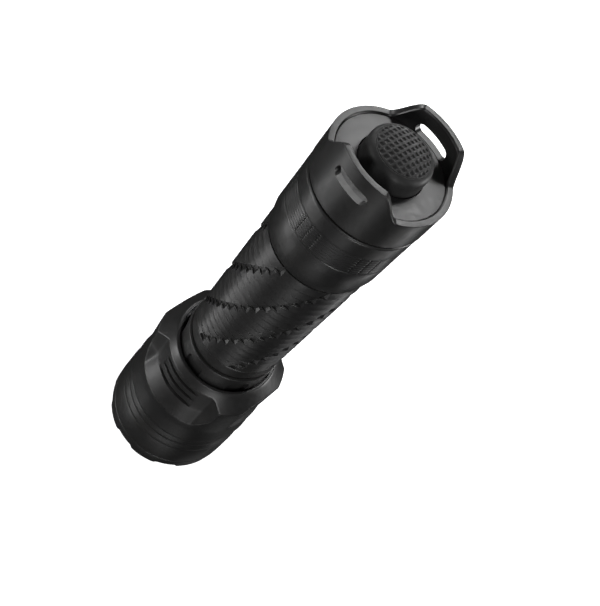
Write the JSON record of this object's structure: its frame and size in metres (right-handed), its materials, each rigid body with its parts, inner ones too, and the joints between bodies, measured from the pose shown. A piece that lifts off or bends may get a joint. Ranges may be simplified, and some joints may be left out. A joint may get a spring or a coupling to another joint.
{
  "type": "tactical flashlight",
  "caption": "Black tactical flashlight with a crowned tail cap, rubber tail switch, scaled spiral-groove battery tube and a pocketed, notched bezel head.",
  "frame": {"origin": "centre of the plane of the bezel's front edge, the light standing on its bezel", "axes": "+Z along the light's axis from the bezel to the tail; one crown ear and one head pocket face -Y"},
  "size_m": [0.0394, 0.0394, 0.1413],
  "materials": {
    "black_anodised": "satin black hard anodising over turned and milled aluminium",
    "boot_rubber": "matte black silicone rubber",
    "seal_rubber": "lubricated black nitrile",
    "circuit_board": "green solder mask",
    "metal_core_board": "metal-core board",
    "plated_contact": "gold-plated contact metal",
    "white_plastic": "white nylon",
    "black_plastic": "black moulded plastic",
    "reflector_mirror": "vacuum-metallised mirror",
    "lens_glass": "coated mineral glass",
    "phosphor": "yellow phosphor",
    "cell_wrap": "shrink-wrapped steel can",
    "black_oxide_ring": "blackened aluminium"
  },
  "bodies": {
    "light_body": {"battery_tube": "black_anodised", "battery_cell": "cell_wrap", "tube_oring_rear": "seal_rubber", "tube_oring_front": "seal_rubber", "neck_ring": "black_anodised", "head_housing": "black_anodised", "positive_contact": "plated_contact", "driver_board": "circuit_board", "driver_inductor": "black_plastic", "driver_capacitor": "black_plastic", "driver_retaining_ring": "black_oxide_ring", "led_board": "metal_core_board", "led_emitter": "phosphor", "led_dome": "lens_glass", "led_centering_ring": "white_plastic", "reflector": "reflector_mirror", "lens": "lens_glass", "lens_oring": "seal_rubber", "bezel_ring": "black_anodised"},
    "tail_cap": {"tail_barrel": "black_anodised", "tail_crown": "black_anodised", "crown_oring": "seal_rubber", "retainer_plate": "black_anodised", "boot_gasket": "boot_rubber", "switch_body": "black_plastic", "switch_board": "circuit_board", "switch_retaining_ring": "black_oxide_ring", "tail_spring": "plated_contact"},
    "boot_cap": {"switch_boot": "boot_rubber"},
    "plunger": {"switch_plunger": "white_plastic"}
  },
  "joints": [
    {"name": "tail_cap_twist", "type": "hinge", "parent": "light_body", "child": "tail_cap", "pos_m": [0, 0, 0.1182], "axis": [0, 0, 1], "range_deg": [0, 90]},
    {"name": "boot_press", "type": "slide", "parent": "tail_cap", "child": "boot_cap", "axis": [0, 0, -1], "range_m": [0, 0.0018], "stiffness_N_per_m": 900, "springref_m": -0.0008},
    {"name": "plunger_press", "type": "slide", "parent": "tail_cap", "child": "plunger", "axis": [0, 0, -1], "range_m": [0, 0.0018], "stiffness_N_per_m": 300, "springref_m": -0.0008}
  ],
  "couplings": [
    {"joint": "plunger_press", "follows": "boot_press", "ratio": 1}
  ]
}
